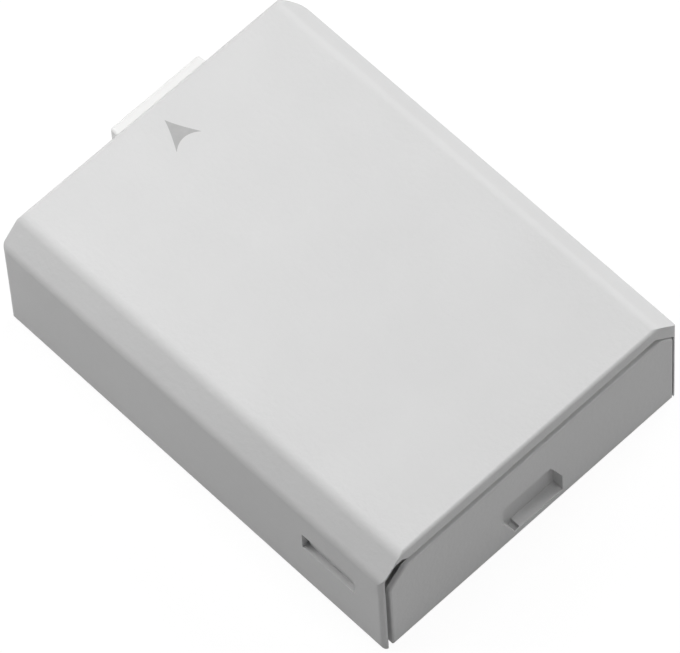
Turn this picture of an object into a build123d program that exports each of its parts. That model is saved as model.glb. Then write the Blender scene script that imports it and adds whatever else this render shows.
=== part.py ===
"""Flat camera battery: a moulded two-part case round two lithium-ion cells in series.

X runs from the contacts at -X to the rear end at +X, Y across the width, Z up from the base.
All sizes are in millimetres.
"""
import os
from math import sqrt

from build123d import *

os.makedirs("parts", exist_ok=True)

# Overall size
overall_length = 49.0  # from the contact block's face to the rear end
case_width = 36.2
case_height = 14.7

# Upper case: top, long sides and contact end in one moulding
side_wall = 1.0
top_wall = 1.0
end_wall = 1.0
chamfer_wall = 1.0
top_chamfer = 2.4  # along both long top edges
chamfer_blend = 1.5  # radius where a chamfer runs into its neighbours
front_left_radius = 0.5  # upright corners, left and right as seen from the rear
front_right_radius = 2.5
front_inner_radius = 1.0
rear_corner_radius = 0.6
edge_radius = 0.35
case_fit = 0.1  # clearance where the two mouldings slide together

# Rear end: the lower case's panel stands in an opening of the upper case, with a seam round it
side_rim = 0.45
top_rim = 1.6
left_chamfer_rim = 0.25
right_chamfer_rim = 1.4
side_seam = 0.325  # on either side of a panel in the middle
top_seam = 1.2
left_chamfer_seam = 2.1
right_chamfer_seam = 0.2
panel_shift = 0.225  # panel off the middle of its opening
panel_thickness = 1.2
flange_thickness = 0.6  # backs the seam from inside
panel_corner_radius = 0.8
panel_edge_radius = 0.2
opening_corner_radius = 0.5
corner_notch_width = 1.5  # the opening follows the chamfer up into the rim at its left corner
corner_notch_height = 0.55
corner_relief = 3.2  # hollow behind the panel's left upper corner, across and down
corner_lip = 0.5  # panel in front of the hollow
corner_wall = 0.3  # flange left behind it
pocket_width = 7.3  # recess for the camera's latch
pocket_offset = 0.1
pocket_bottom = 1.0
pocket_top = 6.7
pocket_depth = 1.2
pocket_cut_width = 1.4  # slanted ends: two opposite corners are cut
pocket_cut_height = 3.2
pocket_groove_width = 0.65  # groove in the floor, at the cut lower corner
pocket_groove_depth = 0.65
pocket_sill = 0.1  # floor in front of the groove

# Base plate, with a snap tab in a window of each long side
floor_thickness = 1.0
window_length = 6.5
window_from_rear = 3.55
window_bottom = 6.15
window_height = 2.35
tab_thickness = 0.7
tab_front_gap = 0.3
tab_rear_gap = 0.15
tab_tip = 0.3  # tab above the hook
hook_land = 0.8  # upright face at the hook's tip
hook_clearance = 0.3  # hook's slope below the window's top edge
hook_inset = 0.6  # hook's tip behind the case's side
hook_fit = 0.05  # hook's underside above the window's bottom edge

# Contact block: carrier that slides up into a slot of the end wall
contact_stand_out = 1.1
block_offset = 1.65
block_width = 10.9
block_bottom = 1.6
block_drop = 0.5  # block's top below the case's top
block_overlap = 0.7  # face over the end wall, each side of the slot
block_top_overlap = 1.5
block_flange = 0.8
block_flange_lap = 0.6
block_edge_radius = 0.3
block_fit = 0.05

# Contacts: four forks, each in a slot of the block, soldered through the board
contact_names = ["positive_contact", "data_contact", "thermistor_contact", "negative_contact"]
contact_pitch = 2.4
contact_slot_width = 1.3
contact_slot_height = 6.0
contact_slot_depth = 1.9
contact_metal = 0.25
contact_recess = 0.5
contact_fit = 0.05
tail_width = 0.5
tail_height = 0.9
tail_reach = 0.4  # tail beyond the board

# Protection board, held in guides of the upper case
board_thickness = 0.8
board_side_gap = 0.8
board_floor_gap = 0.3
board_top_gap = 1.4
guide_overlap = 0.7
guide_thickness = 0.8
guide_fit = 0.1

# Parts on the board's cell side, placed across and up from the board's middle
chip_spot = (-6.5, 2.6)
chip_body = (2.9, 1.6, 1.05)
chip_lead = (0.4, 0.6, 0.15)
chip_lead_pitch = 0.95
chip_leads = 3  # on each side
mosfet_spot = (-6.5, -2.4)
mosfet_body = (4.4, 3.0, 1.05)
mosfet_lead = (0.9, 0.3, 0.15)
mosfet_lead_pitch = 0.65
mosfet_leads = 4  # on each side
thermistor_spot = (8.6, 0.2)
resistor_spot = (1.65, 3.0)
resistor_count = 4
capacitor_spot = (1.65, -3.0)
capacitor_count = 3
chip_pitch = 2.6
chip_length = 1.6
chip_width = 0.8
chip_end = 0.3  # metal end cap
chip_end_step = 0.04
resistor_height = 0.45
capacitor_height = 0.8
thermistor_height = 0.8

# Cells: two flat cans, one on the other, terminals towards the board
board_to_cell = 2.8
cell_side_gap = 0.3
cell_edge_radius = 0.6
base_tape_thickness = 0.2
cell_tape_thickness = 0.2
top_foam_thickness = 0.4
rear_foam_thickness = 0.8
rear_foam_inset = 1.0
pad_margin = 4.0  # tapes and foam inside a cell's flat faces
pad_corner_radius = 1.5
can_rim = 0.4
lid_recess = 0.2
terminal_height = 0.6
rivet_diameter = 2.4
gasket_diameter = 3.6
gasket_height = 0.1
weld_pad_inset = 7.0  # weld pad's middle from the can's side
weld_pad_width = 4.0
weld_pad_height = 2.2
weld_pad_corner_radius = 0.4
fill_plug_diameter = 1.6
fill_plug_offset = 4.6
vent_length = 3.0
vent_width = 1.4
vent_depth = 0.1

# Insulating card and nickel strips in front of the cells
card_thickness = 0.3
card_inset = 1.0
card_corner_radius = 1.0
card_clearance = 0.4
strip_thickness = 0.15
strip_width = 2.6
strip_bend = 0.4
strip_overlap = 1.6  # strip past a terminal's middle
leg_inset = 3.8  # where the strips turn to the board, from the can's side
cutoff_lead_length = 2.4
cutoff_length = 6.6
cutoff_width = 2.8
cutoff_height = 0.9
cutoff_edge_radius = 0.15

# Places along X
front_x = -overall_length / 2
rear_x = overall_length / 2
wall_x = front_x + contact_stand_out
inner_x = wall_x + end_wall
panel_x = rear_x - panel_thickness
flange_x = panel_x - flange_thickness
board_front_x = inner_x + block_flange
board_rear_x = board_front_x + board_thickness
cell_front_x = board_rear_x + board_to_cell
cell_rear_x = flange_x - rear_foam_thickness
terminal_x = cell_front_x - terminal_height
case_length = rear_x - wall_x
cell_length = cell_rear_x - cell_front_x

# Places across and up
case_half = case_width / 2
cavity_half = case_half - side_wall
ceiling = case_height - top_wall
cavity_chamfer = top_chamfer + sqrt(2) * chamfer_wall - side_wall - top_wall
tab_outer = cavity_half - case_fit
cell_width = 2 * (tab_outer - tab_thickness - cell_side_gap)
stack_height = ceiling - floor_thickness
cell_thickness = (stack_height - base_tape_thickness - cell_tape_thickness - top_foam_thickness) / 2
lower_cell_z = floor_thickness + base_tape_thickness + cell_thickness / 2
upper_cell_z = lower_cell_z + cell_thickness + cell_tape_thickness
cell_flat = cell_width - cell_thickness
weld_pad_offset = cell_width / 2 - weld_pad_inset
leg_offset = cell_width / 2 - leg_inset
cutoff_start = leg_offset - cutoff_lead_length - cutoff_length

# Rear opening and the panel in it
opening_half = case_half - side_rim
opening_top = case_height - top_rim
opening_left_chamfer = top_chamfer + sqrt(2) * left_chamfer_rim - side_rim - top_rim
opening_right_chamfer = top_chamfer + sqrt(2) * right_chamfer_rim - side_rim - top_rim
panel_half = opening_half - side_seam
panel_top = opening_top - top_seam
left_seam = side_seam + panel_shift
right_seam = side_seam - panel_shift
panel_left_chamfer = opening_left_chamfer + sqrt(2) * left_chamfer_seam - left_seam - top_seam
panel_right_chamfer = opening_right_chamfer + sqrt(2) * right_chamfer_seam - right_seam - top_seam
window_x = rear_x - window_from_rear - window_length / 2

# Contact block and board
block_top = case_height - block_drop
slot_half = block_width / 2 - block_overlap
slot_top = block_top - block_top_overlap
contact_z = (floor_thickness + slot_top) / 2
contact_slot_x = front_x + contact_slot_depth
board_width = 2 * (cavity_half - board_side_gap)
board_bottom = floor_thickness + board_floor_gap
board_top = ceiling - board_top_gap
board_z = (board_bottom + board_top) / 2


def row_places(count, pitch):
    """Places of a row of equal things, counted from the row's middle."""
    return [(place - (count - 1) / 2) * pitch for place in range(count)]


contact_places = [block_offset + place for place in row_places(len(contact_names), contact_pitch)]


def end_outline(half_width, top, left_corner, right_corner, middle=0.0):
    """Outline standing on the base line, with its two upper corners cut at 45 degrees."""
    left = middle - half_width
    right = middle + half_width
    with BuildSketch() as outline:
        with BuildLine():
            Polyline(
                (left, 0),
                (right, 0),
                (right, top - right_corner),
                (right - right_corner, top),
                (left + left_corner, top),
                (left, top - left_corner),
                close=True,
            )
        make_face()
    return outline.sketch


def save(piece, name):
    """Label a finished piece and write it as one STEP file."""
    piece.part.label = name
    export_step(piece.part, f"parts/{name}.step")


# Room inside the upper case, open at the base and at the rear
with BuildPart() as cavity:
    with BuildSketch(Plane.YZ.offset(inner_x)):
        add(end_outline(cavity_half, ceiling, cavity_chamfer, cavity_chamfer))
    extrude(amount=panel_x - inner_x)
    with BuildSketch() as cavity_plan:
        with Locations(((inner_x + panel_x) / 2, 0)):
            Rectangle(panel_x - inner_x, 2 * cavity_half)
        fillet(cavity_plan.vertices().sort_by(Axis.X)[:2], front_inner_radius)
    extrude(amount=ceiling, mode=Mode.INTERSECT)

# Upper case: the end section, the side view and the plan meet in the outer form
with BuildPart() as upper_case:
    with BuildSketch(Plane.YZ.offset(wall_x)) as outer_section:
        add(end_outline(case_half, case_height, top_chamfer, top_chamfer))
        fillet(outer_section.vertices().sort_by(Axis.Y)[-4:], chamfer_blend)
        fillet(outer_section.vertices().sort_by(Axis.Y)[:2], edge_radius)
    extrude(amount=case_length)
    with BuildSketch(Plane.XZ) as side_view:
        with Locations(((wall_x + rear_x) / 2, 0)):
            Rectangle(case_length, case_height, align=(Align.CENTER, Align.MIN))
        fillet(side_view.vertices(), edge_radius)
    extrude(amount=case_half, both=True, mode=Mode.INTERSECT)
    with BuildSketch() as outer_plan:
        with Locations(((wall_x + rear_x) / 2, 0)):
            Rectangle(case_length, case_width)
        fillet(outer_plan.vertices().group_by(Axis.X)[-1], rear_corner_radius)
        fillet(outer_plan.vertices().group_by(Axis.X)[0].sort_by(Axis.Y)[0], front_left_radius)
        fillet(outer_plan.vertices().group_by(Axis.X)[0].sort_by(Axis.Y)[-1], front_right_radius)
    extrude(amount=case_height, mode=Mode.INTERSECT)

    add(cavity.part, mode=Mode.SUBTRACT)
    with BuildSketch(Plane.YZ.offset(panel_x)) as opening:
        add(end_outline(opening_half, opening_top, opening_left_chamfer, opening_right_chamfer))
        notch_left = opening_left_chamfer - opening_half
        with BuildLine():
            Polyline(
                (notch_left, opening_top),
                (notch_left + corner_notch_height, opening_top + corner_notch_height),
                (notch_left + corner_notch_width, opening_top + corner_notch_height),
                (notch_left + corner_notch_width + corner_notch_height, opening_top),
                close=True,
            )
        make_face()
        fillet(opening.vertices().sort_by(Axis.Y)[2:], opening_corner_radius)
    extrude(amount=panel_thickness, mode=Mode.SUBTRACT)
    with BuildSketch():
        with Locations(((wall_x + inner_x) / 2, block_offset)):
            Rectangle(end_wall, 2 * slot_half)
    extrude(amount=slot_top, mode=Mode.SUBTRACT)
    with Locations((window_x, 0, window_bottom)):
        Box(window_length, case_width, window_height,
            align=(Align.CENTER, Align.CENTER, Align.MIN), mode=Mode.SUBTRACT)

    # Guides for the board's two ends: a ledge on the end wall and a rib behind the board
    guide_height = ceiling - cavity_chamfer - board_bottom
    guide_depth = board_side_gap + guide_overlap
    guide_y = cavity_half - guide_depth / 2
    with Locations((inner_x, guide_y, board_bottom), (inner_x, -guide_y, board_bottom)):
        Box(block_flange - guide_fit, guide_depth, guide_height,
            align=(Align.MIN, Align.CENTER, Align.MIN))
    rib_x = board_rear_x + guide_fit
    with Locations((rib_x, guide_y, board_bottom), (rib_x, -guide_y, board_bottom)):
        Box(guide_thickness, guide_depth, guide_height,
            align=(Align.MIN, Align.CENTER, Align.MIN))
save(upper_case, "upper_case")

# Lower case: base plate, stepped rear panel with the latch pocket, and the two snap tabs
with BuildPart() as lower_case:
    floor_front_x = inner_x + case_fit
    with BuildSketch() as floor_plan:
        with Locations(((floor_front_x + panel_x) / 2, 0)):
            Rectangle(panel_x - floor_front_x, 2 * (cavity_half - case_fit))
        fillet(floor_plan.vertices().sort_by(Axis.X)[:2], front_inner_radius)
        with Locations((wall_x, block_offset)):
            Rectangle(end_wall + 2 * case_fit, 2 * (slot_half - case_fit), align=(Align.MIN, Align.CENTER))
    extrude(amount=floor_thickness)
    fillet(lower_case.edges().filter_by(Axis.Y).group_by(Axis.X)[0].sort_by(Axis.Z)[0], edge_radius)

    with BuildSketch(Plane.YZ.offset(flange_x)):
        add(end_outline(cavity_half - case_fit, ceiling - case_fit, cavity_chamfer, cavity_chamfer))
    extrude(amount=flange_thickness)
    with BuildSketch(Plane.YZ.offset(panel_x)) as panel_outline:
        add(end_outline(panel_half, panel_top, panel_left_chamfer, panel_right_chamfer, panel_shift))
        fillet(panel_outline.vertices().sort_by(Axis.Y)[-4:], panel_corner_radius)
    extrude(amount=panel_thickness)
    fillet(lower_case.faces().sort_by(Axis.X)[-1].edges(), panel_edge_radius)
    corner_depth = flange_thickness + panel_thickness - corner_lip - corner_wall
    with Locations((flange_x + corner_wall, panel_shift - panel_half, panel_top)):
        Box(corner_depth, 2 * corner_relief, 2 * corner_relief,
            align=(Align.MIN, Align.CENTER, Align.CENTER), mode=Mode.SUBTRACT)
    pocket_left = pocket_offset - pocket_width / 2
    pocket_right = pocket_offset + pocket_width / 2
    with BuildSketch(Plane.YZ.offset(rear_x)):
        with BuildLine():
            Polyline(
                (pocket_left, pocket_top),
                (pocket_left, pocket_bottom + pocket_cut_height),
                (pocket_left + pocket_cut_width, pocket_bottom),
                (pocket_right, pocket_bottom),
                (pocket_right, pocket_top - pocket_cut_height),
                (pocket_right - pocket_cut_width, pocket_top),
                close=True,
            )
        make_face()
    extrude(amount=-pocket_depth, mode=Mode.SUBTRACT)
    with Locations((rear_x - pocket_depth, pocket_left + pocket_cut_width, pocket_bottom)):
        Box(pocket_depth - pocket_sill, pocket_groove_width, pocket_groove_depth,
            align=(Align.MIN, Align.MIN, Align.MAX), mode=Mode.SUBTRACT)

    hook_bottom = window_bottom + hook_fit
    slope_top = window_bottom + window_height - hook_clearance
    tab_length = window_length - tab_front_gap - tab_rear_gap
    tab_x = window_x + window_length / 2 - tab_rear_gap - tab_length
    with BuildSketch(Plane.YZ.offset(tab_x)) as tab_section:
        with BuildLine():
            Polyline(
                (tab_outer - tab_thickness, floor_thickness),
                (tab_outer, floor_thickness),
                (tab_outer, hook_bottom),
                (case_half - hook_inset, hook_bottom),
                (case_half - hook_inset, hook_bottom + hook_land),
                (tab_outer, slope_top),
                (tab_outer, slope_top + tab_tip),
                (tab_outer - tab_thickness, slope_top + tab_tip),
                close=True,
            )
        make_face()
        mirror(about=Plane.YZ)
    extrude(amount=tab_length)
save(lower_case, "lower_case")

# Contact block: face outside the end wall, neck in its slot, flange behind it
with BuildPart() as contact_block:
    with BuildSketch(Plane.YZ.offset(front_x)):
        with Locations((block_offset, block_bottom)):
            Rectangle(block_width, block_top - block_bottom, align=(Align.CENTER, Align.MIN))
    extrude(amount=contact_stand_out)
    fillet(contact_block.edges().filter_by(Axis.X), block_edge_radius)
    fillet(contact_block.faces().sort_by(Axis.X)[0].edges(), block_edge_radius)
    neck_bottom = floor_thickness + block_fit
    with BuildSketch(Plane.YZ.offset(wall_x)):
        with Locations((block_offset, neck_bottom)):
            Rectangle(2 * (slot_half - block_fit), slot_top - block_fit - neck_bottom,
                      align=(Align.CENTER, Align.MIN))
    extrude(amount=end_wall)
    with BuildSketch(Plane.YZ.offset(inner_x)):
        with Locations((block_offset, neck_bottom)):
            Rectangle(2 * (slot_half + block_flange_lap), slot_top + block_flange_lap - neck_bottom,
                      align=(Align.CENTER, Align.MIN))
    extrude(amount=block_flange)
    with Locations(*[(front_x, y, contact_z) for y in contact_places]):
        Box(contact_slot_depth, contact_slot_width, contact_slot_height,
            align=(Align.MIN, Align.CENTER, Align.CENTER), mode=Mode.SUBTRACT)
    with Locations(*[(contact_slot_x, y, contact_z) for y in contact_places]):
        Box(board_front_x - contact_slot_x, tail_width + 2 * contact_fit, tail_height + 2 * contact_fit,
            align=(Align.MIN, Align.CENTER, Align.CENTER), mode=Mode.SUBTRACT)
save(contact_block, "contact_block")

# Contacts: a fork open to the front, with a tail through the block and the board
fork_length = contact_slot_depth - contact_recess
fork_width = contact_slot_width - 2 * contact_fit
fork_height = contact_slot_height - 2 * contact_fit
for contact_name, contact_y in zip(contact_names, contact_places):
    with BuildPart() as contact:
        with BuildSketch(Plane.XY.offset(contact_z - fork_height / 2)):
            with Locations((contact_slot_x, contact_y)):
                Rectangle(fork_length, fork_width, align=(Align.MAX, Align.CENTER))
            with Locations((contact_slot_x - contact_metal, contact_y)):
                Rectangle(fork_length, fork_width - 2 * contact_metal,
                          align=(Align.MAX, Align.CENTER), mode=Mode.SUBTRACT)
        extrude(amount=fork_height)
        with Locations((contact_slot_x, contact_y, contact_z)):
            Box(board_rear_x + tail_reach - contact_slot_x, tail_width, tail_height,
                align=(Align.MIN, Align.CENTER, Align.CENTER))
    save(contact, contact_name)

# Protection board, with a hole for each contact's tail
with BuildPart() as protection_board:
    with BuildSketch(Plane.YZ.offset(board_front_x)):
        with Locations((0, board_z)):
            Rectangle(board_width, board_top - board_bottom)
        with Locations(*[(y, contact_z) for y in contact_places]):
            Rectangle(tail_width + 2 * contact_fit, tail_height + 2 * contact_fit, mode=Mode.SUBTRACT)
    extrude(amount=board_thickness)
save(protection_board, "protection_board")


def board_plane(spot, column=0.0):
    """Plane on the board's cell side, with its own X across and Y up, at a spot from the middle."""
    return Plane.YZ.offset(board_rear_x).move(Pos(spot[0] + column, board_z + spot[1], 0))


def chip(plane, height):
    """Two-ended chip: a ceramic body between metal end caps that stand a little proud."""
    with BuildPart(plane) as body:
        Box(chip_length, chip_width, height - chip_end_step, align=(Align.CENTER, Align.CENTER, Align.MIN))
        with GridLocations(chip_length - chip_end, 0, 2, 1):
            Box(chip_end, chip_width + 2 * chip_end_step, height,
                align=(Align.CENTER, Align.CENTER, Align.MIN))
    return body.part


def chip_package(plane, body_size, lead_size, grid):
    """Moulded chip with rows of flat leads on the board."""
    with BuildPart(plane) as package:
        Box(*body_size, align=(Align.CENTER, Align.CENTER, Align.MIN))
        with GridLocations(*grid):
            Box(*lead_size, align=(Align.CENTER, Align.CENTER, Align.MIN))
    return package


protection_chip = chip_package(
    board_plane(chip_spot), chip_body, chip_lead,
    (chip_lead_pitch, chip_body[1] + chip_lead[1], chip_leads, 2),
)
save(protection_chip, "protection_chip")

mosfet_pair = chip_package(
    board_plane(mosfet_spot), mosfet_body, mosfet_lead,
    (mosfet_body[0] + mosfet_lead[0], mosfet_lead_pitch, 2, mosfet_leads),
)
save(mosfet_pair, "mosfet_pair")

with BuildPart() as thermistor:
    add(chip(board_plane(thermistor_spot), thermistor_height))
save(thermistor, "thermistor")

with BuildPart() as chip_resistors:
    for column in row_places(resistor_count, chip_pitch):
        add(chip(board_plane(resistor_spot, column), resistor_height))
save(chip_resistors, "chip_resistors")

with BuildPart() as chip_capacitors:
    for column in row_places(capacitor_count, chip_pitch):
        add(chip(board_plane(capacitor_spot, column), capacitor_height))
save(chip_capacitors, "chip_capacitors")


def cell(cell_z, pad_side):
    """Flat can with round sides and a recessed lid: rivet in the middle, weld pad to one side."""
    lid_x = cell_front_x + lid_recess
    with BuildPart() as can:
        with BuildSketch(Plane.YZ.offset(cell_front_x)):
            with Locations((0, cell_z)):
                SlotOverall(cell_width, cell_thickness)
        extrude(amount=cell_length)
        fillet(can.faces().sort_by(Axis.X)[-1].edges(), cell_edge_radius)
        with BuildSketch(Plane.YZ.offset(cell_front_x)):
            with Locations((0, cell_z)):
                SlotOverall(cell_width - 2 * can_rim, cell_thickness - 2 * can_rim)
        extrude(amount=lid_recess, mode=Mode.SUBTRACT)
        with BuildSketch(Plane.YZ.offset(lid_x)):
            with Locations((-pad_side * weld_pad_offset, cell_z)):
                SlotOverall(vent_length, vent_width)
        extrude(amount=vent_depth, mode=Mode.SUBTRACT)
        with BuildSketch(Plane.YZ.offset(lid_x)):
            with Locations((0, cell_z)):
                Circle(gasket_diameter / 2)
            with Locations((pad_side * fill_plug_offset, cell_z)):
                Circle(fill_plug_diameter / 2)
        extrude(amount=-gasket_height)
        with BuildSketch(Plane.YZ.offset(lid_x)):
            with Locations((0, cell_z)):
                Circle(rivet_diameter / 2)
            with Locations((pad_side * weld_pad_offset, cell_z)):
                RectangleRounded(weld_pad_width, weld_pad_height, weld_pad_corner_radius)
        extrude(amount=terminal_x - lid_x)
    return can


upper_cell = cell(upper_cell_z, 1)
save(upper_cell, "upper_cell")
lower_cell = cell(lower_cell_z, -1)
save(lower_cell, "lower_cell")


def flat_pad(bottom, thickness):
    """Tape or foam on a cell's flat face, inside its edges."""
    with BuildPart() as pad:
        with BuildSketch(Plane.XY.offset(bottom)):
            with Locations(((cell_front_x + cell_rear_x) / 2, 0)):
                RectangleRounded(cell_length - 2 * pad_margin, cell_flat - 2 * pad_margin, pad_corner_radius)
        extrude(amount=thickness)
    return pad


base_tape = flat_pad(floor_thickness, base_tape_thickness)
save(base_tape, "base_tape")
cell_tape = flat_pad(lower_cell_z + cell_thickness / 2, cell_tape_thickness)
save(cell_tape, "cell_tape")
top_foam = flat_pad(upper_cell_z + cell_thickness / 2, top_foam_thickness)
save(top_foam, "top_foam")

stack_bottom = floor_thickness + base_tape_thickness
stack_top = upper_cell_z + cell_thickness / 2
stack_z = (stack_bottom + stack_top) / 2

with BuildPart() as rear_foam:
    with BuildSketch(Plane.YZ.offset(cell_rear_x)):
        with Locations((0, stack_z)):
            RectangleRounded(cell_flat, stack_top - stack_bottom - 2 * rear_foam_inset, pad_corner_radius)
    extrude(amount=rear_foam_thickness)
save(rear_foam, "rear_foam")

# Insulating card on the cells' rims, open over the four terminals
with BuildPart() as insulator_card:
    with BuildSketch(Plane.YZ.offset(cell_front_x)):
        with Locations((0, stack_z)):
            RectangleRounded(cell_width - 2 * card_inset, stack_top - stack_bottom - 2 * card_inset,
                             card_corner_radius)
        with Locations((0, upper_cell_z), (0, lower_cell_z)):
            Circle(rivet_diameter / 2 + card_clearance, mode=Mode.SUBTRACT)
        with Locations((weld_pad_offset, upper_cell_z), (-weld_pad_offset, lower_cell_z)):
            Rectangle(weld_pad_width + 2 * card_clearance, weld_pad_height + 2 * card_clearance,
                      mode=Mode.SUBTRACT)
    extrude(amount=-card_thickness)
save(insulator_card, "insulator_card")


def bent_strip(start_y, strip_z):
    """Nickel strip that runs across the terminals' tops and turns down to the board."""
    middle = strip_thickness / 2
    with BuildPart() as strip:
        with BuildSketch(Plane.XY.offset(strip_z - strip_width / 2)):
            with BuildLine():
                FilletPolyline(
                    (terminal_x - middle, start_y),
                    (terminal_x - middle, leg_offset - middle),
                    (board_rear_x, leg_offset - middle),
                    radius=strip_bend,
                )
            trace(line_width=strip_thickness)
        extrude(amount=strip_width)
    return strip


positive_strip = bent_strip(weld_pad_offset - strip_overlap, upper_cell_z)
save(positive_strip, "positive_strip")
cutoff_lead = bent_strip(cutoff_start + cutoff_length, lower_cell_z)
save(cutoff_lead, "cutoff_lead")

# Negative strip from the lower rivet to the thermal cut-off
with BuildPart() as negative_strip:
    with BuildSketch(Plane.YZ.offset(terminal_x)):
        with Locations((-strip_overlap, lower_cell_z)):
            Rectangle(cutoff_start + strip_overlap, strip_width, align=(Align.MIN, Align.CENTER))
    extrude(amount=-strip_thickness)
save(negative_strip, "negative_strip")

# Thermal cut-off on the card
with BuildPart() as thermal_cutoff:
    with BuildSketch(Plane.YZ.offset(cell_front_x - card_thickness)):
        with Locations((cutoff_start, lower_cell_z)):
            Rectangle(cutoff_length, cutoff_width, align=(Align.MIN, Align.CENTER))
    extrude(amount=-cutoff_height)
    fillet(thermal_cutoff.faces().sort_by(Axis.X)[0].edges(), cutoff_edge_radius)
save(thermal_cutoff, "thermal_cutoff")

# Series strip: upper rivet to lower weld pad, with a leg to the board for the middle voltage
with BuildPart() as series_strip:
    with BuildSketch(Plane.YZ.offset(terminal_x)):
        with Locations((strip_overlap, upper_cell_z)):
            Rectangle(leg_offset + strip_overlap, strip_width, align=(Align.MAX, Align.CENTER))
        with Locations((-weld_pad_offset, lower_cell_z - strip_width / 2)):
            Rectangle(strip_width, upper_cell_z - lower_cell_z + strip_width / 2,
                      align=(Align.CENTER, Align.MIN))
    extrude(amount=-strip_thickness)
    with Locations((terminal_x, -leg_offset, upper_cell_z)):
        Box(terminal_x - board_rear_x, strip_thickness, strip_width,
            align=(Align.MAX, Align.MIN, Align.CENTER))
save(series_strip, "series_strip")
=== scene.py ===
# %% [markdown]
# # A flat camera battery
# A flat rechargeable pack of the kind that slides into the grip of a camera. Its solids come packed, in
# metres, with the base on z = 0, the contacts at -X and the rear end at +X. This lesson adds what solids
# don't have: the finish of every piece, the printed arrow, a floor, light and the camera. The solids could
# be rebuilt here as meshes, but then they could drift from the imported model, so they stay as they are.

import bpy
import numpy as np
from mathutils import Matrix, Vector


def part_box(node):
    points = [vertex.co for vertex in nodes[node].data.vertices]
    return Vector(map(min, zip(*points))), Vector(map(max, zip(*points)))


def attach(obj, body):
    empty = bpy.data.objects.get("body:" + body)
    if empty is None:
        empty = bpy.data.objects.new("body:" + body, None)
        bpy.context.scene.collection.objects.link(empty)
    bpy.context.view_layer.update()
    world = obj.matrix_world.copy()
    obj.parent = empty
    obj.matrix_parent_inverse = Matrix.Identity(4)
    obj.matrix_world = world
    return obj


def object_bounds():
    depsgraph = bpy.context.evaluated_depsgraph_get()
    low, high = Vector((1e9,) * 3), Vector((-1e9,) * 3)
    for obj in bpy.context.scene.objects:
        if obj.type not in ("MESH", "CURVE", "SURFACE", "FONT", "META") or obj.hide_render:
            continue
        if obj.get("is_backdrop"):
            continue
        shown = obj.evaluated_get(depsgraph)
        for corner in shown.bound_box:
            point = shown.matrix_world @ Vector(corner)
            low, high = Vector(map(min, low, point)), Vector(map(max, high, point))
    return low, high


MM = 0.001

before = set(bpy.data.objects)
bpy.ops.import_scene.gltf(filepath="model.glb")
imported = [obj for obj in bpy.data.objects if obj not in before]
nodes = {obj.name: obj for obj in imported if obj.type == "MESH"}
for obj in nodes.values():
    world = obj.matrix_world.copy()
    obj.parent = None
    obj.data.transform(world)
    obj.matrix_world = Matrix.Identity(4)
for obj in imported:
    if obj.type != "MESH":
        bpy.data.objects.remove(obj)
cad_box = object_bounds()
print("nodes:", len(nodes), "size in mm:", [round(x / MM, 2) for x in cad_box[1] - cad_box[0]])

# %% [markdown]
# ## Colours and nodes
# A colour is picked as an sRGB hex value, and a shader counts light in linear numbers, so one
# function turns the first into the second. A second small function adds a shader node, sets it up and
# links it in one line. The node editor's own names are used, so a reader can find each node there.

# %% Two helpers
def linear(hex_colour):
    """An sRGB hex colour as linear red, green, blue and full alpha.
    Each channel c is c / 12.92 near black and ((c + 0.055) / 1.055) to the power 2.4 above that."""
    channel = np.array([int(hex_colour[i:i + 2], 16) for i in (1, 3, 5)]) / 255.0
    value = np.where(channel <= 0.04045, channel / 12.92, ((channel + 0.055) / 1.055) ** 2.4)
    return (*value.tolist(), 1.0)


def add_node(tree, kind, feeds=None, **settings):
    """Add a node to a tree. Settings are the node's own properties; each feed is a value for an input
    socket, or the output socket that drives it."""
    made = tree.nodes.new(kind)
    for name, value in settings.items():
        setattr(made, name, value)
    for name, value in (feeds or {}).items():
        if isinstance(value, bpy.types.NodeSocket):
            tree.links.new(value, made.inputs[name])
        else:
            made.inputs[name].default_value = value
    return made


print("mid grey #808080 is", round(linear("#808080")[0], 3), "in linear light")

# %% [markdown]
# ## One pattern, three uses
# On a real surface one cause often changes tone, gloss and height at once: a scratch is darker, rougher
# and lower than what is round it. Three separate patterns could be used, but they would fall in different
# places. So every material below makes a pattern of its own, and one function leads it into the shader as
# a colour, a roughness and a relief. A noise hardly ever reaches 0 or 1, so its useful range is named here.

# %% From a pattern to a finish
NOISE_RANGE = (0.3, 0.7)
FULL_RANGE = (0.0, 1.0)


def start_material(name):
    """A new material, with its tree, its shader and the piece's own coordinates in metres."""
    material = bpy.data.materials.new(name)
    material.use_nodes = True
    tree = material.node_tree
    tree.nodes.clear()
    shader = add_node(tree, "ShaderNodeBsdfPrincipled")
    add_node(tree, "ShaderNodeOutputMaterial", {"Surface": shader.outputs["BSDF"]})
    place = add_node(tree, "ShaderNodeTexCoord").outputs["Object"]
    return material, tree, shader, place


def lead_in(tree, shader, pattern, tones, gloss, height_mm, ends=FULL_RANGE, raised_by=None):
    """Lead a pattern into a shader. As it goes from one of its ends to the other, the colour goes through
    the two tones and the roughness through the two values of gloss. The relief is height_mm high where the
    pattern is 1, or where raised_by is, if the relief has a pattern of its own. Returns the colour."""
    ramp = add_node(tree, "ShaderNodeValToRGB", {"Fac": pattern})
    for stop, position, tone in zip(ramp.color_ramp.elements, ends, tones):
        stop.position, stop.color = position, linear(tone)
    rough = add_node(tree, "ShaderNodeMapRange", {
        "Value": pattern, "From Min": ends[0], "From Max": ends[1], "To Min": gloss[0], "To Max": gloss[1]})
    relief = add_node(tree, "ShaderNodeBump", {
        "Height": pattern if raised_by is None else raised_by, "Distance": height_mm * MM, "Strength": 1.0})
    for socket, source in (("Base Color", ramp.outputs["Color"]), ("Roughness", rough.outputs["Result"]),
                           ("Normal", relief.outputs["Normal"])):
        tree.links.new(source, shader.inputs[socket])
    return ramp.outputs["Color"]


print("a noise is read from", NOISE_RANGE[0], "to", NOISE_RANGE[1])

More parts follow.
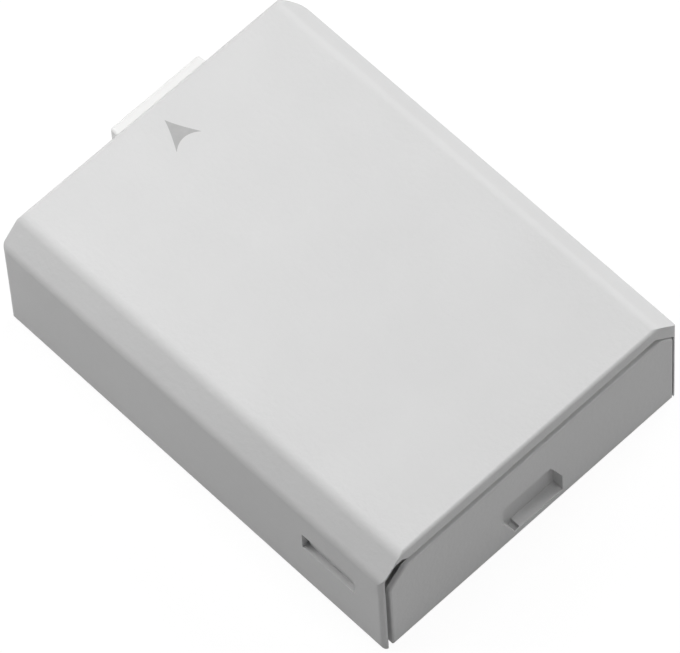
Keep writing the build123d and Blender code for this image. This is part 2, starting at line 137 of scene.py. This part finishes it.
# %% [markdown]
# ## Moulded plastic
# The case is a PC/ABS blend, moulded in a tool whose walls were spark-eroded. That leaves a fine even
# grain, which scatters the light, so the surface looks matt and soft at its edges. Seen close, no moulding
# is one tone: the melt flows unevenly, and handling polishes it a little. A photograph of plastic could be
# mapped on, but it would stretch at the chamfers, so two noises are used instead: a wide one for tone and
# gloss, and a fine one for the grain.

# %% Moulded plastic as a family of materials
PLASTIC_IOR, PBT_IOR = 1.53, 1.56
PLASTIC_GLOSS_SPREAD = 0.05
# Octaves of a noise, and how strongly each finer one counts.
CLOUD_DETAIL, CLOUD_BREAKUP = 3.0, 0.55
GRAIN_DETAIL, GRAIN_BREAKUP = 2.0, 0.5


def moulded_plastic(name, pale, deep, roughness, grain_mm, grain_height_mm, cloud_mm=9.0, ior=PLASTIC_IOR):
    """Plastic as it leaves a textured mould. Tone and gloss follow a cloudy noise of the size cloud_mm;
    the grain is a noise of the size grain_mm, raised by grain_height_mm."""
    material, tree, shader, place = start_material(name)
    cloud = add_node(tree, "ShaderNodeTexNoise", {
        "Vector": place, "Scale": 1 / (cloud_mm * MM), "Detail": CLOUD_DETAIL, "Roughness": CLOUD_BREAKUP})
    grain = add_node(tree, "ShaderNodeTexNoise", {
        "Vector": place, "Scale": 1 / (grain_mm * MM), "Detail": GRAIN_DETAIL, "Roughness": GRAIN_BREAKUP})
    shader.inputs["IOR"].default_value = ior
    gloss = (roughness - PLASTIC_GLOSS_SPREAD, roughness + PLASTIC_GLOSS_SPREAD)
    lead_in(tree, shader, cloud.outputs["Fac"], (deep, pale), gloss, grain_height_mm,
            ends=NOISE_RANGE, raised_by=grain.outputs["Fac"])
    return material


print("a moulding's roughness varies by", PLASTIC_GLOSS_SPREAD, "either way")

# %% [markdown]
# The case is a neutral light grey. The lower case comes from another tool in the same blend, a touch
# smoother. The contact block is a whiter, glass-filled PBT, which stands the heat of the soldered contacts.
# Grain of 0.1 mm would vanish at the photograph's ten pixels a millimetre. It could be left out, but then
# the case looks like wax, so it is drawn coarser, at 0.5 mm on the case and 0.3 mm on the block.

# %% The mouldings seen from outside
# Matt light grey: an even tone with a faint mottle, and no mirror-like spots.
case_plastic = moulded_plastic(
    "moulded PC-ABS, light grey", "#DCDCDC", "#D8D8D8", roughness=0.62, grain_mm=0.5, grain_height_mm=0.025)
# The same grey a shade deeper, with a slightly tighter sheen, so the panel reads as a second piece.
lower_plastic = moulded_plastic(
    "moulded PC-ABS, light grey, smoother", "#D9D9D9", "#D5D5D5",
    roughness=0.58, grain_mm=0.5, grain_height_mm=0.022)
# Nearly white and smoother still, so the contact block stands out from the case.
block_plastic = moulded_plastic(
    "moulded PBT, white", "#F0F0EF", "#EBEBEA",
    roughness=0.42, grain_mm=0.3, grain_height_mm=0.004, ior=PBT_IOR)
print("outside mouldings:", [m.name for m in (case_plastic, lower_plastic, block_plastic)])

# %% [markdown]
# ## Metal, tape and card
# Three metals are in the pack. The contacts are phosphor bronze with a thin gold plate, the strips are
# rolled nickel, and each cell's can is aluminium, drawn deep from sheet. Rolling and drawing leave fine
# lines along the way the metal moved. Anisotropic shading could give their sheen, but it needs tangents,
# and a noise stretched along one axis shows the same lines and also roughens the metal as the real ones do.
# The same stretched noise serves two sheets: the tape is coated in one direction and keeps a slight streak,
# and the insulating card is pressed from long fibres.

# %% Surfaces with lines along one axis
LINE_GLOSS_SPREAD = 0.06
LINE_DETAIL, LINE_BREAKUP = 3.0, 0.6


def lined_surface(name, pale, deep, roughness, line_mm, stretch, height_mm, metallic):
    """A surface with fine lines: a noise whose cells are line_mm wide and, along each axis, stretch times
    as long. It drives the tone, the gloss and a shallow relief."""
    material, tree, shader, place = start_material(name)
    spacing = add_node(tree, "ShaderNodeMapping", {
        "Vector": place, "Scale": tuple(1 / (line_mm * MM * s) for s in stretch)})
    lines = add_node(tree, "ShaderNodeTexNoise", {
        "Vector": spacing.outputs["Vector"], "Scale": 1.0, "Detail": LINE_DETAIL, "Roughness": LINE_BREAKUP})
    shader.inputs["Metallic"].default_value = metallic
    gloss = (roughness - LINE_GLOSS_SPREAD, roughness + LINE_GLOSS_SPREAD)
    lead_in(tree, shader, lines.outputs["Fac"], (deep, pale), gloss, height_mm, ends=NOISE_RANGE)
    return material


# Warm yellow glints deep in the white slots.
gold_plate = lined_surface(
    "gold plate on phosphor bronze", "#F3D28A", "#DDB765",
    roughness=0.26, line_mm=0.05, stretch=(1, 1, 12), height_mm=0.0006, metallic=1.0)
# A warm grey metal with lines across the pack.
nickel = lined_surface(
    "rolled nickel", "#D2CCC2", "#B9B3A9",
    roughness=0.32, line_mm=0.06, stretch=(1, 14, 1), height_mm=0.0008, metallic=1.0)
# A paler, cooler metal, with a satin sheen drawn out along the can.
can_aluminium = lined_surface(
    "deep-drawn aluminium", "#E2E3E4", "#CDCFD1",
    roughness=0.34, line_mm=0.12, stretch=(25, 1, 1), height_mm=0.0012, metallic=1.0)
# A yellowish film with a soft shine and long faint streaks.
glue_tape = lined_surface(
    "double-sided film tape", "#E6DEC4", "#D9CFB2",
    roughness=0.45, line_mm=0.3, stretch=(30, 1, 1), height_mm=0.003, metallic=0.0)
# A dull grey-green sheet with short fibres in it.
fish_paper = lined_surface(
    "pressed insulating card", "#A3A88A", "#8F9478",
    roughness=0.8, line_mm=0.15, stretch=(1, 6, 1), height_mm=0.01, metallic=0.0)
print("lined surfaces:", [m.name for m in (gold_plate, nickel, can_aluminium, glue_tape, fish_paper)])

# %% [markdown]
# ## Board and chips
# The board and its chips don't show from outside, but the pieces come apart in other uses of the part, so
# each has its own finish. The board is glass laminate under a green solder resist, and the weave of the
# glass shows through as a faint grid. A checker could stand for the weave, but threads are round, so two
# waves are multiplied instead. The chips are black moulding compound with a mineral filler, a pale speckle.

# %% Board and chips
WAVE_RATE = 20.0  # a Wave Texture multiplies its coordinate by this before it takes the sine
WEAVE_WANDER, WEAVE_DETAIL = 0.3, 1.0
WEAVE_GLOSS = (0.30, 0.40)
WEAVE_HEIGHT_MM = 0.004


def woven_laminate(name, pale, deep, thread_mm):
    """Solder resist on glass cloth: two sine waves at right angles, one thread_mm from crest to crest,
    are multiplied into the grid of the weave."""
    material, tree, shader, place = start_material(name)
    scale = 2 * np.pi / (WAVE_RATE * thread_mm * MM)
    waves = [add_node(tree, "ShaderNodeTexWave", {
        "Vector": place, "Scale": scale, "Distortion": WEAVE_WANDER, "Detail": WEAVE_DETAIL},
        bands_direction=axis) for axis in "YZ"]
    grid = add_node(tree, "ShaderNodeMath", {
        0: waves[0].outputs["Fac"], 1: waves[1].outputs["Fac"]}, operation="MULTIPLY")
    lead_in(tree, shader, grid.outputs[0], (deep, pale), WEAVE_GLOSS, WEAVE_HEIGHT_MM)
    return material


# Deep green with a soft shine and a hint of cloth.
board_laminate = woven_laminate("solder resist on glass laminate", "#2C7A4B", "#1F6239", thread_mm=0.5)
# Soft black with a fine pale speckle.
chip_compound = moulded_plastic(
    "filled epoxy moulding compound", "#2B2B2C", "#222223",
    roughness=0.55, grain_mm=0.08, grain_height_mm=0.004, cloud_mm=0.3)
# A slightly greyer, smoother black than the chips.
cutoff_compound = moulded_plastic(
    "glass-filled PPS, black", "#313132", "#262627",
    roughness=0.45, grain_mm=0.12, grain_height_mm=0.004, cloud_mm=0.8)
print("board and chips:", board_laminate.name, "/", chip_compound.name, "/", cutoff_compound.name)

# %% [markdown]
# ## Chips with two ends
# The small two-ended chips are fired ceramic with tinned caps. The caps belong to the same solid as the
# body, so the finish has to know where they are. Each chip could have a mask of its own, but along the
# board the chips stand at an even pitch: folding the Y coordinate at that pitch brings every chip to one
# place, and the caps are where the folded coordinate is near either end of a chip.

# %% Chips with tinned caps
CHIP_PITCH, CHIP_HALF, CAP = 2.6 * MM, 0.8 * MM, 0.3 * MM
CAP_MARGIN = 0.005 * MM  # gives a cap's inner face to the cap
SPECKLE, SPECKLE_DETAIL = 0.1 * MM, 2.0
SPECKLE_GLOSS = (0.3, 0.5)
SPECKLE_HEIGHT_MM = 0.003
TIN = "#C9C9C6"


def capped_ceramic(name, pale, deep, chip_y):
    """Ceramic between metal caps. With w the Y coordinate folded to one pitch about a chip's middle,
    a point is on a cap where the size of w is more than half a chip less a cap."""
    material, tree, shader, place = start_material(name)
    along = add_node(tree, "ShaderNodeSeparateXYZ", {0: place})
    shifted = add_node(tree, "ShaderNodeMath", {0: along.outputs["Y"], 1: chip_y}, operation="SUBTRACT")
    folded = add_node(tree, "ShaderNodeMath", {
        0: shifted.outputs[0], 1: CHIP_PITCH / 2, 2: -CHIP_PITCH / 2}, operation="WRAP")
    reach = add_node(tree, "ShaderNodeMath", {0: folded.outputs[0]}, operation="ABSOLUTE")
    cap = add_node(tree, "ShaderNodeMath", {
        0: reach.outputs[0], 1: CHIP_HALF - CAP - CAP_MARGIN}, operation="GREATER_THAN")
    speckle = add_node(tree, "ShaderNodeTexNoise", {
        "Vector": place, "Scale": 1 / SPECKLE, "Detail": SPECKLE_DETAIL})
    body = lead_in(tree, shader, speckle.outputs["Fac"], (deep, pale), SPECKLE_GLOSS, SPECKLE_HEIGHT_MM)
    # The Mix node's sockets go by number, because its colours share their names with its other kinds.
    colour = add_node(tree, "ShaderNodeMix", {0: cap.outputs[0], 6: body, 7: linear(TIN)}, data_type="RGBA")
    tree.links.new(colour.outputs[2], shader.inputs["Base Color"])
    tree.links.new(cap.outputs[0], shader.inputs["Metallic"])
    return material


def middle_y(node):
    """Y of the middle of a node's box."""
    low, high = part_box(node)
    return (low.y + high.y) / 2


# Dark glaze between two bright ends. The row has four chips, so its middle lies half a pitch from a chip.
resistor_ceramic = capped_ceramic(
    "glazed alumina with tinned caps", "#2A2A2C", "#1E1E20", middle_y("chip_resistors") + CHIP_PITCH / 2)
# Tan ceramic between two bright ends.
capacitor_ceramic = capped_ceramic(
    "fired titanate with tinned caps", "#B39473", "#A08262", middle_y("chip_capacitors"))
# Brown-grey ceramic between two bright ends.
thermistor_ceramic = capped_ceramic(
    "fired oxide with tinned caps", "#5B5650", "#4C4842", middle_y("thermistor"))
print("capped chips:", [m.name for m in (resistor_ceramic, capacitor_ceramic, thermistor_ceramic)])

# %% [markdown]
# ## Foam
# Foam fills the room over and behind the cells. It is full of small closed bubbles. They could be cut into
# the mesh, but there would be thousands, so a Voronoi pattern draws them: low in a bubble, high at its wall.
# It dents the middle of each bubble and also darkens it, which is painted shade in the hollow.

# %% Foam
FOAM_GLOSS = (0.95, 0.8)
FOAM_HEIGHT_MM = 0.05


def closed_foam(name, pale, deep, bubble_mm):
    """Closed-cell foam: the distance to the nearest point of a random set, bubble_mm apart, is low in the
    middle of a bubble and high at its wall. It drives the gloss, the relief and the tone, which is darker
    in the middle of a bubble: painted shade in its hollow."""
    material, tree, shader, place = start_material(name)
    bubbles = add_node(tree, "ShaderNodeTexVoronoi", {"Vector": place, "Scale": 1 / (bubble_mm * MM)})
    # The colour goes from the deep tone in a bubble's middle to the pale one at its wall: painted shade in
    # the hollow.
    lead_in(tree, shader, bubbles.outputs["Distance"], (deep, pale), FOAM_GLOSS, FOAM_HEIGHT_MM)
    return material


# A dull dark sponge without any shine.
foam = closed_foam("closed-cell foam", "#5A5A5A", "#333333", bubble_mm=0.4)
print("foam:", foam.name)

# %% [markdown]
# ## Dressing the solids
# Each solid already has one material slot. Its material is swapped for one of those above. Faces could be
# given materials one by one, but each piece is of one stuff, so one slot is enough. The mesh is left as it
# is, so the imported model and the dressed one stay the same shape.

# %% Which piece is made of what
finishes = {
    case_plastic: ["upper_case"],
    lower_plastic: ["lower_case"],
    block_plastic: ["contact_block"],
    gold_plate: ["positive_contact", "data_contact", "thermistor_contact", "negative_contact"],
    board_laminate: ["protection_board"],
    chip_compound: ["protection_chip", "mosfet_pair"],
    resistor_ceramic: ["chip_resistors"],
    capacitor_ceramic: ["chip_capacitors"],
    thermistor_ceramic: ["thermistor"],
    can_aluminium: ["upper_cell", "lower_cell"],
    glue_tape: ["cell_tape", "base_tape"],
    foam: ["top_foam", "rear_foam"],
    fish_paper: ["insulator_card"],
    nickel: ["positive_strip", "series_strip", "negative_strip", "cutoff_lead"],
    cutoff_compound: ["thermal_cutoff"],
}
for material, names in finishes.items():
    for name in names:
        nodes[name].data.materials.clear()
        nodes[name].data.materials.append(material)
dressed = sorted(name for names in finishes.values() for name in names)
print("dressed:", len(dressed), "left plain:", sorted(set(nodes) - set(dressed)))

# %% [markdown]
# ## The arrow
# A small arrowhead on the top points to the contacts and shows which end goes in first. It is pad-printed
# in a darker grey. It could be painted by the case's material, but a film of ink is a thing of its own,
# a few thousandths of a millimetre thick, so it is made as a thin closed mesh that lies on the top.

# %% The arrow's film of ink
ARROW_TIP, ARROW_BACK = -21.45 * MM, -18.25 * MM
ARROW_MIDDLE, ARROW_HALF = 0.05 * MM, 1.52 * MM
ARROW_NOTCH = 0.65 * MM
ARROW_FLANK = 1.2
ARROW_BLUNT = 0.02  # share of the length that the printed tip lacks
INK = 0.005 * MM


def arrow_film(columns=24, rows=12):
    """Arrowhead as a grid in u (tip to back, ARROW_BLUNT to 1) and v (side to side, -1 to 1).
    The half width grows as u to the power ARROW_FLANK, so both flanks are a little hollow; the back is
    pulled towards the tip by the notch, most in the middle: x = tip + u * (length - notch * (1 - v * v)).
    The grid is laid on the top and again one film of ink higher, and a rim closes the two."""
    u, v = np.meshgrid(np.linspace(ARROW_BLUNT, 1, columns), np.linspace(-1, 1, rows), indexing="ij")
    x = ARROW_TIP + u * (ARROW_BACK - ARROW_TIP - ARROW_NOTCH * (1 - v * v))
    y = ARROW_MIDDLE + v * ARROW_HALF * u ** ARROW_FLANK
    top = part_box("upper_case")[1].z
    layers = [np.stack([x, y, np.full_like(x, top + h)], axis=-1).reshape(-1, 3) for h in (0.0, INK)]
    index = np.arange(columns * rows).reshape(columns, rows)
    quads = np.stack([index[:-1, :-1], index[1:, :-1], index[1:, 1:], index[:-1, 1:]], axis=-1).reshape(-1, 4)
    rim = np.concatenate([index[:, 0], index[-1, 1:], index[-2::-1, -1], index[0, -2:0:-1]])
    after = np.roll(rim, -1)
    shift = columns * rows
    walls = np.stack([rim, after, after + shift, rim + shift], axis=-1)
    return np.concatenate(layers), np.concatenate([quads[:, ::-1], quads + shift, walls])


def mesh_piece(name, points, faces, material, body="root"):
    """Turn arrays of points and faces into an object that rides on a body of the model."""
    mesh = bpy.data.meshes.new(name)
    mesh.from_pydata(points.tolist(), [], faces.tolist())
    mesh.validate()
    mesh.materials.append(material)
    piece = bpy.data.objects.new(name, mesh)
    bpy.context.scene.collection.objects.link(piece)
    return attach(piece, body)


# A flat dull grey, darker than the case and without a shine of its own.
arrow_ink = moulded_plastic(
    "pad-printing ink, grey", "#B5B5B5", "#ADADAD",
    roughness=0.55, grain_mm=0.2, grain_height_mm=0.003, cloud_mm=0.8)
arrow = mesh_piece("arrow_print", *arrow_film(), arrow_ink)
print("arrow:", len(arrow.data.polygons), "faces")

# %% [markdown]
# ## Floor
# The pack lies on plain white. A floor that is bright enough to look white would throw its light back up at
# the case's sides and flatten them. So what the camera and reflections see is nearly white by itself, with
# a share of shaded grey that keeps the shadow, and what lights the sides is a light grey, which gives back
# a little more than half of the light.

# %% Floor
FLOOR_HALF = 1.5
FLOOR_DROP = 0.02 * MM
FLOOR_BOUNCE, FLOOR_SHADED, FLOOR_GLOW = "#C8C8C8", "#616161", 0.915
WHITE = linear("#FFFFFF")


def ray_switch(tree):
    """1 for rays from the camera, in reflections and through clear things, and 0 for all others."""
    rays = add_node(tree, "ShaderNodeLightPath").outputs
    seen = add_node(tree, "ShaderNodeMath", {
        0: rays["Is Camera Ray"], 1: rays["Is Glossy Ray"]}, operation="MAXIMUM")
    return add_node(tree, "ShaderNodeMath", {
        0: seen.outputs[0], 1: rays["Is Transmission Ray"]}, operation="MAXIMUM").outputs[0]


# A clean white ground with a faint soft shadow at the pack's foot.
paper = bpy.data.materials.new("white studio paper")
paper.use_nodes = True
tree = paper.node_tree
tree.nodes.clear()
bounce = add_node(tree, "ShaderNodeBsdfDiffuse", {"Color": linear(FLOOR_BOUNCE)})
shaded = add_node(tree, "ShaderNodeBsdfDiffuse", {"Color": linear(FLOOR_SHADED)})
glow = add_node(tree, "ShaderNodeEmission", {"Color": WHITE, "Strength": FLOOR_GLOW})
white = add_node(tree, "ShaderNodeAddShader", {0: shaded.outputs[0], 1: glow.outputs[0]})
chosen = add_node(tree, "ShaderNodeMixShader", {
    0: ray_switch(tree), 1: bounce.outputs[0], 2: white.outputs[0]})
add_node(tree, "ShaderNodeOutputMaterial", {"Surface": chosen.outputs[0]})

corners = np.array([(-1, -1), (1, -1), (1, 1), (-1, 1)]) * FLOOR_HALF
floor_mesh = bpy.data.meshes.new("floor")
floor_mesh.from_pydata([(x, y, -FLOOR_DROP) for x, y in corners], [], [(0, 1, 2, 3)])
floor_mesh.materials.append(paper)
floor = bpy.data.objects.new("floor", floor_mesh)
bpy.context.scene.collection.objects.link(floor)
floor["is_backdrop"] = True
print("floor:", 2 * FLOOR_HALF, "m square")

# %% [markdown]
# ## Light
# The photograph has soft light from above, with more from the far side and from the contact end, so the far
# edges are the brightest and the two near sides are in the open shade. One large bright sky would light
# every side alike and fill the slots, so it is kept faint and square lamps give the rest: one overhead, a
# wider one on the far side, a small near one at the contact end, which fades along the case, and a weaker
# one over the rear end. Together they light a level white surface to about white, so a colour shows about
# as it is written.

# %% Sky and lamps
SKY, BACKDROP = 0.01, 1.0

world = bpy.data.worlds.new("white surround")
bpy.context.scene.world = world
world.use_nodes = True
tree = world.node_tree
tree.nodes.clear()
sky = add_node(tree, "ShaderNodeBackground", {"Color": WHITE, "Strength": SKY})
backdrop = add_node(tree, "ShaderNodeBackground", {"Color": WHITE, "Strength": BACKDROP})
chosen = add_node(tree, "ShaderNodeMixShader", {
    0: ray_switch(tree), 1: sky.outputs[0], 2: backdrop.outputs[0]})
add_node(tree, "ShaderNodeOutputWorld", {"Surface": chosen.outputs[0]})


def area_lamp(name, direction, distance, size, power):
    """A square lamp at a distance from the pack's middle along a direction, turned to face it."""
    lamp = bpy.data.lights.new(name, "AREA")
    lamp.size, lamp.energy = size, power
    holder = bpy.data.objects.new(name, lamp)
    holder.location = Vector(direction).normalized() * distance
    holder.rotation_euler = (-holder.location).to_track_quat("-Z", "Y").to_euler()
    bpy.context.scene.collection.objects.link(holder)
    return holder


lamps = [
    area_lamp("overhead lamp", direction=(0.0, 0.0, 1.0), distance=0.45, size=0.2, power=0.485),
    area_lamp("far side lamp", direction=(0.0, 0.85, 0.53), distance=0.45, size=0.35, power=1.22),
    area_lamp("contact end lamp", direction=(-0.62, -0.38, 0.68), distance=0.21, size=0.18, power=0.238),
    area_lamp("rear lamp", direction=(0.6, 0.1, 0.8), distance=0.45, size=0.2, power=0.29),
]
print("lamps:", [lamp.name for lamp in lamps])

# %% [markdown]
# ## Camera
# The pack was photographed from far off through a long lens: opposite edges of the case are almost
# parallel in the picture. The camera could be turned by eye until the picture looks alike, but a small
# error then hides in the lens. So the place, the aim and the roll come from a fit of the case's straight
# edges to the photograph, which agrees with it to about a pixel.

# %% Camera
CAMERA_PLACE = Vector((252.03, -215.98, 589.58)) * MM
CAMERA_AIM = Vector((1.516, -0.924, 7.35)) * MM
ROLL_DEGREES = -4.05
FOCAL_PIXELS, IMAGE_WIDTH = 7595.3, 680
SENSOR_WIDTH_MM = 36.0
CLIP_NEAR, CLIP_FAR = 0.01, 20.0

lens = bpy.data.cameras.new("camera")
lens.sensor_width = SENSOR_WIDTH_MM
lens.lens = FOCAL_PIXELS * SENSOR_WIDTH_MM / IMAGE_WIDTH
lens.clip_start, lens.clip_end = CLIP_NEAR, CLIP_FAR
camera = bpy.data.objects.new("camera", lens)
look = (CAMERA_AIM - CAMERA_PLACE).to_track_quat("-Z", "Y").to_matrix()
camera.matrix_world = Matrix.Translation(CAMERA_PLACE) @ (
    look @ Matrix.Rotation(np.radians(ROLL_DEGREES), 3, "Z")).to_4x4()
bpy.context.scene.collection.objects.link(camera)
bpy.context.scene.camera = camera
bpy.context.scene.view_settings.view_transform = "Standard"
print("lens:", round(lens.lens, 1), "mm, distance:", round((CAMERA_AIM - CAMERA_PLACE).length, 3), "m")

# %% [markdown]
# ## Size
# The film of ink lies on the top of the case. A look at the picture wouldn't show a film that stands too
# high, so how far the dressed model's box reaches beyond the imported one is measured and printed.

# %% Sizes
visual_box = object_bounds()
grown = [max(a - b, d - c) / MM for a, b, c, d in zip(cad_box[0], visual_box[0], cad_box[1], visual_box[1])]
print("visual box beyond the packed one, mm:", [round(g, 3) for g in grown])
